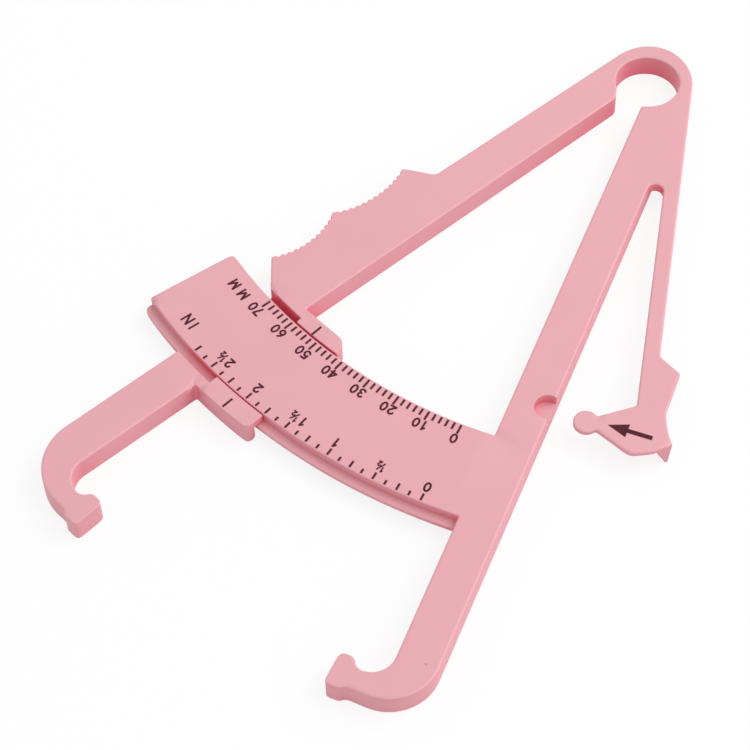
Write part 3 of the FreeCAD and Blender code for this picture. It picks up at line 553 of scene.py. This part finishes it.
grip_run = np.concatenate([
    seam(hole + RING_IN * ray(ring_side), hole + RING_OUT * ray(ring_side), (TOP, FOOT)),
    corner(grip_top, 0.6), corner(grip_first, 0.3, 0.5),
    hollow(grip_first, grip_middle, radius=19.7, teeth=True, crown=0.5), corner(grip_middle, 0.2, 0.5),
    hollow(grip_middle, grip_last, radius=15.9, teeth=True, crown=0.5), corner(grip_last, 0.3)])
bar_corner = corner(BAR_END * ray(BAR_CORNER), 0.3, 0.4)
tab_run = np.concatenate([
    corner(at_height(TAB_OUT, TAB_TOP), 0.15, 0.3), corner((TAB_IN, TAB_CORNER), 0.8, 0.5),
    corner((TAB_IN, y_on(moving_inner, TAB_IN)), 0.3)])
ring_run = np.concatenate([
    corner(lip_end, 0.45), corner(bore_end, 0.2),
    arc(hole, RING_IN, BORE_LIP, ring_side, soft=0, after=0)])
lower_jaw = jaw(moving_inner, shank_outer, -1, outer_radius=11.0, face=0.15)[::-1]
lower_jaw[:, 3] = np.roll(lower_jaw[:, 3], -1)
lower_jaw[-1, 3] = 1.0
shank_run = np.concatenate([corner(shank_low, 0.3), lower_jaw])
wall_top = turn_of(at_height(WALL_OUT, WALL_TOP))
wall_run = np.concatenate([
    arc((0, 0), WALL_OUT, turn_of(on_circle(moving_inner, WALL_OUT)), wall_top, 0.2, 0.3, 0.5),
    corner(WALL_OUT * ray(wall_top), 0.8, 0.35)])

# %% The moving arm in four storeys
BRIDGE_HIGH, LIP_LOW = 1.7, 3.5
BRIDGE_TOP, BRIDGE_PAST, TAB_FOOT, LIP_FOOT = 4.2, 0.3, -4.2, -5.7


def arc_up(radius, first, last, crown, after):
    """A run of a circle round the centre, from the height y = first to y = last."""
    start, end = (turn_of(at_height(radius, height)) for height in (first, last))
    return arc((0, 0), radius, start, end, crown, 0.15, after)


bridge = soften(np.concatenate([
    grip_run, bar_corner, shank_run, wall_run, corner(at_height(WALL_IN, WALL_TOP), 0.15, 0.4),
    corner(at_height(WALL_IN - BRIDGE_PAST, BRIDGE_TOP), 0.15, 0.4),
    corner(at_height(TAB_OUT + BRIDGE_PAST, BRIDGE_TOP), 0.15, 0.4), tab_run, ring_run]))
bar = soften(np.concatenate([
    grip_run, arc_up(BAR_END, bar_corner[0, 1], TAB_FOOT, 0.3, 0.3),
    arc_up(TAB_OUT, TAB_FOOT, TAB_TOP, 0.3, 0.3), tab_run, ring_run]))
wall_foot = arc_up(WALL_IN, WALL_TOP, shank_low[1], 0.3, 1.0)
lip_foot = np.concatenate([
    arc_up(LIP_IN, WALL_TOP, LIP_FOOT, 0.35, 0.35), arc_up(WALL_IN, LIP_FOOT, shank_low[1], 0.35, 1.0)])
wall, lip = (soften(np.concatenate([foot, shank_run, wall_run])) for foot in (wall_foot, lip_foot))
moving_moulding = piece(
    "moving_moulding",
    slab(seated(bridge, -REST), 0, BRIDGE_HIGH, foot=FOOT),
    slab(seated(bar, -REST), BRIDGE_HIGH, FULL, top=TOP),
    slab(seated(wall, -REST), BRIDGE_HIGH, LIP_LOW),
    slab(seated(lip, -REST), LIP_LOW, FULL, top=TOP))

# %% [markdown]
# ## The ring and the lever's flexure
#
# Two places of the moulding really bend: the ring, when the arms are squeezed, and the first stretch of
# the lever, when the thumb presses.

# %% The spring ring
RING_STATIONS, RING_CROWN, CROWN_SHIFT = 90, 0.6, 1.3
ring_angles = np.radians(np.linspace(LEVER_TURN + 90, OUTER_TURN + 270 - REST, RING_STATIONS))
around = np.column_stack([np.cos(ring_angles), np.sin(ring_angles)])
way_round = np.linspace(0, 1, RING_STATIONS) ** CROWN_SHIFT
outer = RING_OUT + RING_CROWN * np.sin(np.pi * way_round) ** 2
print(f"the ring is {(outer - RING_IN).max():.2f} mm wide at its crown")
ring_moulding = piece(
    "ring_moulding", band(BORE + RING_IN * around, BORE + outer[:, None] * around, 0, FULL, TOP, FOOT))

# %% The lever's flexure
FLEX_LONG, FLEX_STATIONS = 16, 40
LEVER_LOW = 4.0

FLEX_END = root_end + FLEX_LONG
stations = np.linspace(root_end, FLEX_END, FLEX_STATIONS)
upper, lower = (seated(np.column_stack([stations, np.full_like(stations, y)]), LEVER_TURN, lever_origin)
                for y in (0, -LEVER_WIDE))
flexure_moulding = piece("flexure_moulding", band(upper, lower, LEVER_LOW, FULL, TOP, FOOT))

# %% [markdown]
# ## The lever
#
# Past its flexure the lever runs on as a thin strip to a head with a hollow for the thumb and a neck that
# ends in the click ball. It is drawn along its own outer edge and then seated in the frame, because along
# that edge its sizes read as they would off a ruler. Under the thumb the head is thickened by a wedge. It
# could be a loft between two outlines, but it is a slab too, whose lower face follows a slope.

# %% The lever's strip, head and ball
STRIP_END, BALL_R, NECK_HALF = 76.4, 2.38, 1.45
ball = np.array([STRIP_END + 16.38, -11.9])
neck_turn = math.degrees(math.acos(NECK_HALF / BALL_R))
thumb_first = np.array([STRIP_END + 3.35, 4.1])
thumb_dip = thumb_first + [8.75, -1.7]
thumb_peak = thumb_dip + [6.9, 1.7]
thumb_seat = hollow(thumb_peak, thumb_dip, radius=18)
lever = soften(np.concatenate([
    seam(np.array([FLEX_END, 0]), np.array([FLEX_END, -LEVER_WIDE]), (TOP, FOOT)),
    corner((STRIP_END + 11.6, -LEVER_WIDE), 0.35),
    arc(ball, BALL_R, 180 - neck_turn, 360 + neck_turn, 0.8, 0.35),
    corner(thumb_peak + [3.3, -7.4], 0.8), corner(thumb_peak + [2.2, -3.3], 0.6), corner(thumb_peak, 0.35),
    thumb_seat, corner(thumb_dip, 0.3), corner(thumb_first, 0.25), corner((STRIP_END, 0), 0.4)]))
lever_moulding = piece(
    "lever_moulding", slab(seated(lever, LEVER_TURN, lever_origin), LEVER_LOW, FULL, TOP, FOOT))

# %% The wedge under the thumb
WEDGE_FOOT, WEDGE_REACH, WEDGE_SLANT = 3.75, 1.2, 1.7 / 3.3
LEAN = np.array([0.8, -0.5])
wedge_end = thumb_peak + [WEDGE_SLANT * (thumb_peak[1] - WEDGE_REACH), WEDGE_REACH - thumb_peak[1]]
wedge = soften(np.concatenate([
    corner(thumb_dip, 0.1), corner((thumb_dip[0], WEDGE_REACH), 0.1), corner(wedge_end, 0.2),
    corner(thumb_peak, 0.35), thumb_seat]))


def wedge_slope(spots):
    """The underside's height: h (r - y) / (r - e), for the ridge at r, the reach at e and the head's h."""
    return np.clip(LEVER_LOW * (WEDGE_FOOT - spots[:, 1]) / (WEDGE_FOOT - WEDGE_REACH), 0, LEVER_LOW)


grid = np.stack(np.meshgrid(
    np.arange(thumb_dip[0], wedge_end[0], 0.3), [*np.arange(1.5, 3.6, 0.4), WEDGE_FOOT]), -1)
points, faces = slab(wedge, wedge_slope, LEVER_LOW + 0.5, foot=(0.12, 1), more=grid.reshape(-1, 2))
points[:, :2] += np.maximum(1 - points[:, 2:] / LEVER_LOW, 0) * LEAN
wedge_moulding = piece("wedge_moulding", (seated(points, LEVER_TURN, lever_origin), faces))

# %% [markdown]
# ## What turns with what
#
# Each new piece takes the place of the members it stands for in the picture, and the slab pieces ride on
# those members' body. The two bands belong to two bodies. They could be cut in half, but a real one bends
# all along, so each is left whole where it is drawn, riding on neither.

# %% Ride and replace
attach(fixed_moulding, "fixed_frame")
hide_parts("hinge_web", "lever_root", "fixed_arm", "fixed_jaw_hook", "fixed_jaw_pad",
            "scale_plate", "scale_rail")
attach(moving_moulding, "moving_arm")
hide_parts("grip_bar", "finger_grip", "guide_bridge", "mm_pointer_tab",
            "inch_pointer_tab", "jaw_shank", "moving_jaw_hook", "moving_jaw_pad")
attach(lever_moulding, "force_lever")
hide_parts("lever_strip", "lever_head", "click_ball")
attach(wedge_moulding, "force_lever")
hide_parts("thumb_wedge")


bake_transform(ring_moulding)
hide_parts("spring_ring")
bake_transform(flexure_moulding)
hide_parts("lever_flexure")
mouldings = [fixed_moulding, moving_moulding, ring_moulding, flexure_moulding, lever_moulding, wedge_moulding]
print("in place:", ", ".join(thing.name for thing in mouldings))

# %% [markdown]
# ## Numerals
#
# The numerals are printed with the ticks in round pen strokes of one width. A font would be quicker, but
# its letters have the weight and the shapes of another hand. So each figure is a few strokes, straight or
# bowed, in a box one unit high. The strokes of a figure are merged by a triangulation of all their
# outlines together, and the flat figure is given the thickness of a coat of ink.

# %% Pen strokes
def line(x0, y0, x1, y1):
    """A straight stroke: p0 + t (p1 - p0)."""
    return np.linspace([x0, y0], [x1, y1], 2)


def bow(x, y, across, up, start, end):
    """A bowed stroke: (x + a cos t, y + b sin t)."""
    turn = np.radians(np.linspace(start, end, 2 + int(abs(end - start) / 15)))
    return np.column_stack([x + across * np.cos(turn), y + up * np.sin(turn)])


STROKES = {
    "0": [bow(0.33, 0.5, 0.24, 0.42, 0, 180), bow(0.33, 0.5, 0.24, 0.42, 180, 360)],
    "1": [line(0.4, 0.06, 0.4, 0.94), line(0.4, 0.94, 0.2, 0.72)],
    "2": [bow(0.33, 0.68, 0.23, 0.24, 170, -32), line(0.53, 0.55, 0.09, 0.08), line(0.09, 0.08, 0.6, 0.08)],
    "3": [bow(0.31, 0.71, 0.2, 0.21, 150, -90), bow(0.31, 0.29, 0.24, 0.21, 90, -150)],
    "4": [line(0.46, 0.06, 0.46, 0.94), line(0.46, 0.94, 0.07, 0.3), line(0.07, 0.3, 0.62, 0.3)],
    "5": [line(0.55, 0.92, 0.17, 0.92), line(0.17, 0.92, 0.13, 0.52), bow(0.31, 0.35, 0.25, 0.28, 135, -150)],
    "6": [bow(0.33, 0.31, 0.23, 0.24, 0, 180), bow(0.33, 0.31, 0.23, 0.24, 180, 360),
          bow(0.6, 0.3, 0.5, 0.64, 112, 180)],
    "7": [line(0.08, 0.92, 0.58, 0.92), line(0.58, 0.92, 0.26, 0.06)],
    "M": [line(0.1, 0.06, 0.1, 0.94), line(0.1, 0.94, 0.43, 0.2), line(0.43, 0.2, 0.76, 0.94),
          line(0.76, 0.94, 0.76, 0.06)],
    "I": [line(0.2, 0.06, 0.2, 0.94)],
    "N": [line(0.1, 0.06, 0.1, 0.94), line(0.1, 0.94, 0.66, 0.06), line(0.66, 0.06, 0.66, 0.94)]}
HALF_SIZE = 0.55
STROKES["h"] = [
    *(HALF_SIZE * stroke + [0.04, 0.47] for stroke in STROKES["1"]), line(0.26, 0.1, 0.68, 0.88),
    *(HALF_SIZE * stroke + [0.52, -0.02] for stroke in STROKES["2"])]
DIGIT_WIDE = 0.66
OTHER_WIDTHS = {"M": 1.3, "I": 0.5, "N": 0.9, "h": 0.95}
print("figures:", " ".join(STROKES), "(h is the half)")


def pen(path, half):
    """The outline of a round pen's stroke: the path moved to its right, back on its left, ends half round."""
    span = np.diff(path, axis=0)
    span = np.vstack([span[:1], span, span[-1:]])
    heading = span[:-1] / np.hypot(*span[:-1].T)[:, None] + span[1:] / np.hypot(*span[1:].T)[:, None]
    heading /= np.hypot(*heading.T)[:, None]
    right = half * np.column_stack([heading[:, 1], -heading[:, 0]])
    turn = np.radians(np.linspace(-60, 60, 5))[:, None]
    ends = [path[k] + way * (half * np.cos(turn) * heading[k] - np.sin(turn) * right[k])
            for k, way in ((-1, 1), (0, -1))]
    return np.concatenate([path + right, ends[0], (path - right)[::-1], ends[1]])


# %% Print the numerals
INK_LOW, INK_HIGH = FULL, FULL + 0.04
PEN, FINE_PEN = 0.2, 0.144


def printed(words, radius, turn, height, spacing):
    """A word as a closed coat of ink: strokes merged, centred and moved to r (cos a, sin a), feet inwards."""
    strokes, reach = [], 0.0
    for letter in words:
        half = FINE_PEN if letter == "h" else PEN
        strokes += [pen(height * (path + [reach, 0]), half) for path in STROKES[letter]]
        reach += OTHER_WIDTHS.get(letter, DIGIT_WIDE) * spacing
    flat = np.concatenate(strokes)
    middle = (flat.min(axis=0) + flat.max(axis=0)) / 2
    flat -= middle
    ends = np.cumsum([0, *map(len, strokes)])
    loops = [list(range(start, end)) for start, end in zip(ends[:-1], ends[1:])]
    spots, _, faces, *_ = delaunay_2d_cdt([Vector(spot) for spot in flat.tolist()], [], loops, 1, 1e-5)
    spots, faces = np.array(spots), np.array(faces)
    inked = [inside(spots[faces].mean(axis=1) + middle, stroke) for stroke in strokes]
    faces = faces[np.any(inked, axis=0)]
    a, b, c = (spots[faces[:, k]] for k in range(3))
    turned = (b - a)[:, 0] * (c - a)[:, 1] < (b - a)[:, 1] * (c - a)[:, 0]
    faces[turned] = faces[turned][:, ::-1]
    sides = np.concatenate([faces[:, [0, 1]], faces[:, [1, 2]], faces[:, [2, 0]]])
    key, back = sides @ [len(spots), 1], sides @ [1, len(spots)]
    rim = sides[~np.isin(key, back)]
    count = len(spots)
    place = seated(spots, turn - 90, radius * ray(turn))
    points = np.concatenate([
        np.column_stack([place, np.full(count, level)]) for level in (INK_HIGH, INK_LOW)])
    wall = np.column_stack([rim[:, 0] + count, rim[:, 1] + count, rim[:, 1], rim[:, 0]])
    return points, [*faces.tolist(), *(faces[:, ::-1] + count).tolist(), *wall.tolist()]


MM_ROW, INCH_ROW, FIGURE_HIGH = 104.4, 115.9, 2.1
TEN_MM, HALF_INCH = 10 * DEGREES_PER_MM, 12.7 * DEGREES_PER_MM
labels = [printed(str(10 * k), MM_ROW, -k * TEN_MM - (0.17 if k else 0.05), FIGURE_HIGH, spacing=1.2)
          for k in range(8)]
labels += [printed(word, INCH_ROW, -k * HALF_INCH + (0.3 if len(word) > 1 else 0), FIGURE_HIGH, spacing=1.25)
           for k, word in enumerate(["0", "h", "1", "1h", "2", "2h"])]
labels += [printed("MM", MM_ROW - 0.1, turn=-29.3, height=2.2, spacing=1.05),
           printed("IN", INCH_ROW, turn=-28.9, height=2.4, spacing=1.25)]
points, faces = zip(*labels)
starts = np.cumsum([0, *map(len, points)])
scale_numerals = piece("scale_numerals", (np.concatenate(points), [
    [start + index for index in face] for start, label in zip(starts, faces) for face in label]))
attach(scale_numerals, "fixed_frame")

# %% [markdown]
# ## The plastic and the ink
#
# The plastic is a pale pink with a satin skin, and it lets light in: where the sky can't reach, in a slot
# or at the foot of a wall, the light that comes out has gone a long way through the pigment and is a deep,
# warm pink. On the crowned edges it comes out paler. Subsurface scattering would do this too, but it breaks
# at the seams between the pieces. So this light and shade are painted into the base colour instead, a
# painted shade of deep pink and a painted highlight of pale pink, from what shader nodes can tell about each
# spot: an ambient occlusion node says how open it is to the sky, its height how much sky an open wall would
# see there, and its normal whether it is a face, a wall or a crowned edge between the two. The ink is a thin
# maroon coat that covers a little unevenly.

# %% Helpers for materials
def adder(tree):
    """A function that adds a node to a tree, sets it and links what it reads."""
    def add(kind, links=(), numbers=(), **settings):
        node = tree.nodes.new(kind)
        for key, setting in settings.items():
            setattr(node, key, setting)
        for socket, number in numbers:
            node.inputs[socket].default_value = number
        for source, socket in links:
            tree.links.new(source, node.inputs[socket])
        return node
    return add


def new_material(name):
    """A material with its tree, its shader and a function that adds nodes."""
    material = bpy.data.materials.new(name)
    material.use_nodes = True
    tree = material.node_tree
    return material, tree, tree.nodes["Principled BSDF"], adder(tree)


def ramp(add, value, low, high, to_low=0.0, to_high=1.0):
    """A value carried in a straight line from low..high to to_low..to_high, and held there beyond."""
    numbers = [("From Min", low), ("From Max", high), ("To Min", to_low), ("To Max", to_high)]
    return add("ShaderNodeMapRange", [(value, "Value")], numbers).outputs["Result"]


def product(add, *values):
    """Values multiplied together."""
    result = values[0]
    for value in values[1:]:
        result = add("ShaderNodeMath", [(result, 0), (value, 1)], operation="MULTIPLY").outputs[0]
    return result


def mixed(add, share, first, second):
    """A colour between two, by a share from 0 to 1. Each is a fixed colour or another node's socket."""
    node = add("ShaderNodeMix", [(share, 0)], data_type="RGBA")
    for slot, colour in ((6, first), (7, second)):
        if isinstance(colour, tuple):
            node.inputs[slot].default_value = (*colour, 1)
        else:
            node.id_data.links.new(colour, node.inputs[slot])
    return node.outputs[2]


# %% Moulded plastic
PINK, CLOUD_PINK = (0.785, 0.408, 0.446), (0.81, 0.426, 0.464)
PAINTED_SHADE_PINK, PAINTED_HIGHLIGHT_PINK = (0.86, 0.07, 0.15), (0.93, 0.53, 0.56)
SPECK, SPECK_AT, SPECK_R = (0.30, 0.09, 0.10), (0.1378, 0.0153, 0.0052), 0.00032

plastic, tree, shader, add = new_material("pink_plastic")
place = add("ShaderNodeTexCoord").outputs["Object"]
clouds = add("ShaderNodeTexNoise", [(place, "Vector")], [("Scale", 70), ("Detail", 3)])
surface = mixed(add, ramp(add, clouds.outputs["Fac"], 0.3, 0.7), PINK, CLOUD_PINK)
facing = add("ShaderNodeSeparateXYZ", [(add("ShaderNodeNewGeometry").outputs["Normal"], 0)]).outputs["Z"]
open_share = add("ShaderNodeAmbientOcclusion", (), [("Distance", 0.02)], samples=16).outputs["AO"]
height = add("ShaderNodeSeparateXYZ", [(place, 0)]).outputs["Z"]
expected = ramp(add, height, 0.0, FULL * 0.001, 0.5, 0.62)
shut = add("ShaderNodeMath", [(expected, 0), (open_share, 1)], operation="SUBTRACT").outputs[0]
# Painted shade: deep pink on shut-in walls, less on faces that look up, and not at all on the underside.
painted_shade = product(add, ramp(add, shut, 0.0, 0.36, 0.24, 0.8), ramp(add, facing, 0.95, 0.3, 0.3, 1.0),
                 ramp(add, facing, -0.9, -0.5))
surface = mixed(add, painted_shade, surface, PAINTED_SHADE_PINK)
# Painted highlight: pale where the surface leans, between the flat face and the upright wall.
painted_highlight = product(add, ramp(add, facing, 0.97, 0.75), ramp(add, facing, 0.25, 0.55, 0.0, 0.35))
surface = mixed(add, painted_highlight, surface, PAINTED_HIGHLIGHT_PINK)
off_speck = add("ShaderNodeVectorMath", [(place, 0)], [(1, SPECK_AT)], operation="DISTANCE").outputs["Value"]
surface = mixed(add, ramp(add, off_speck, SPECK_R, 0.4 * SPECK_R, 0.0, 0.5), surface, SPECK)
tree.links.new(surface, shader.inputs["Base Color"])
grain = add("ShaderNodeTexNoise", [(place, "Vector")], [("Scale", 2600), ("Detail", 3)])
tree.links.new(ramp(add, grain.outputs["Fac"], 0.0, 1.0, 0.38, 0.52), shader.inputs["Roughness"])
skin = add("ShaderNodeBump", [(grain.outputs["Fac"], "Height")], [("Strength", 0.25), ("Distance", 0.00002)])
tree.links.new(skin.outputs["Normal"], shader.inputs["Normal"])
print(f"{plastic.name}: {len(tree.nodes)} nodes")

# %% Printed ink
MAROON, THIN_MAROON = (0.055, 0.003, 0.009), (0.095, 0.008, 0.018)

ink, tree, shader, add = new_material("maroon_ink")
place = add("ShaderNodeTexCoord").outputs["Object"]
coverage = add("ShaderNodeTexNoise", [(place, "Vector")], [("Scale", 1800), ("Detail", 2)])
coat = mixed(add, ramp(add, coverage.outputs["Fac"], 0.35, 0.7), MAROON, THIN_MAROON)
tree.links.new(coat, shader.inputs["Base Color"])
tree.links.new(ramp(add, coverage.outputs["Fac"], 0.3, 0.7, 0.5, 0.62), shader.inputs["Roughness"])
shader.inputs["Specular IOR Level"].default_value = 0.25
print(f"{ink.name}: {len(tree.nodes)} nodes")

# %% Give each piece its material
INK_NODES = ("mm_graduations", "inch_graduations", "mm_pointer_line", "inch_pointer_line", "force_arrow")
for name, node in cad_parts.items():
    node.data.materials.clear()
    node.data.materials.append(ink if name in INK_NODES else plastic)
for thing in mouldings:
    thing.data.materials.append(plastic)
scale_numerals.data.materials.append(ink)
print(len(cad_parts) + len(mouldings) + 1, "meshes have a material")

# %% [markdown]
# ## Floor, light and camera
#
# The floor is a plain white sheet under a wide soft sky, with one large lamp high on a side, at a level at
# which a colour renders about as it is written. The eye, and what mirrors the eye's view, sees most of the
# sheet as plain white, so that only a breath of the shadow is left. The camera looks down at the caliper
# at an angle and leans a little.

# %% Floor
SHEET_GLOW, SHEET_HALF, SHEET_LOW = 0.84, 3, -0.00002
GREY, WHITE = (0.85, 0.85, 0.85), (1.0, 1.0, 1.0)


def seen(add):
    """1 for a ray from the eye or from something that mirrors or passes its view, else 0."""
    path = add("ShaderNodeLightPath")
    both = add("ShaderNodeMath", [(path.outputs["Is Camera Ray"], 0), (path.outputs["Is Glossy Ray"], 1)],
               operation="MAXIMUM")
    return add("ShaderNodeMath", [(both.outputs[0], 0), (path.outputs["Is Transmission Ray"], 1)],
               operation="MAXIMUM").outputs[0]


floor_mesh = bpy.data.meshes.new("floor")
floor_mesh.from_pydata(
    [(SHEET_HALF * x, SHEET_HALF * y, 0) for x, y in ((-1, -1), (1, -1), (1, 1), (-1, 1))],
    [], [(0, 1, 2, 3)])
floor = bpy.data.objects.new("floor", floor_mesh)
bpy.context.collection.objects.link(floor)
floor.location.z = SHEET_LOW
paper, tree, shader, add = new_material("white_paper")
shader.inputs["Roughness"].default_value = 0.9
shader.inputs["Specular IOR Level"].default_value = 0.0
view = seen(add)
tree.links.new(mixed(add, view, GREY, WHITE), shader.inputs["Base Color"])
glow = add("ShaderNodeEmission", (), [("Strength", 1.0)])
share = add("ShaderNodeMath", [(view, 0)], [(1, SHEET_GLOW)], operation="MULTIPLY").outputs[0]
sheet = add("ShaderNodeMixShader", [(share, 0), (shader.outputs[0], 1), (glow.outputs[0], 2)])
tree.links.new(sheet.outputs[0], tree.nodes["Material Output"].inputs["Surface"])
floor_mesh.materials.append(paper)
print(f"the sheet is {2 * SHEET_HALF} m wide")

# %% Light
SKY_GREY = (0.66, 0.66, 0.66)
LAMP_AT, LAMP_AIM = (-0.37, 0.61, 0.92), (0.07, -0.02, 0)

world = bpy.data.worlds.new("studio")
world.use_nodes = True
bpy.context.scene.world = world
tree = world.node_tree
add = adder(tree)
tree.links.new(mixed(add, seen(add), SKY_GREY, WHITE), tree.nodes["Background"].inputs["Color"])

lamp = bpy.data.lights.new("softbox", "AREA")
lamp.shape = "RECTANGLE"
lamp.size = 1.2
lamp.size_y = 1.0
lamp.energy = 8.0
softbox = bpy.data.objects.new("softbox", lamp)
softbox.location = LAMP_AT
softbox.rotation_euler = (Vector(LAMP_AIM) - softbox.location).to_track_quat("-Z", "Y").to_euler()
bpy.context.collection.objects.link(softbox)
print(f"a lamp of {lamp.energy:.0f} W, {lamp.size:.1f} by {lamp.size_y:.1f} m")

# %% Camera
CAMERA_AT, CAMERA_AIM, CAMERA_ROLL = (0.32908, 0.10586, 0.40274), (0.08714, -0.01870, 0.0052), -1.945

lens = bpy.data.cameras.new("camera")
lens.sensor_width = 36
lens.lens = 124.9
lens.clip_start = 0.01
camera = bpy.data.objects.new("camera", lens)
camera.location = CAMERA_AT
aim = (Vector(CAMERA_AIM) - camera.location).to_track_quat("-Z", "Y")
camera.rotation_euler = (aim @ Quaternion((0, 0, 1), math.radians(CAMERA_ROLL))).to_euler()
bpy.context.collection.objects.link(camera)
bpy.context.scene.camera = camera
bpy.context.scene.view_settings.view_transform = "Standard"
print(f"camera: {lens.lens:.1f} mm from", tuple(round(x, 3) for x in camera.location))
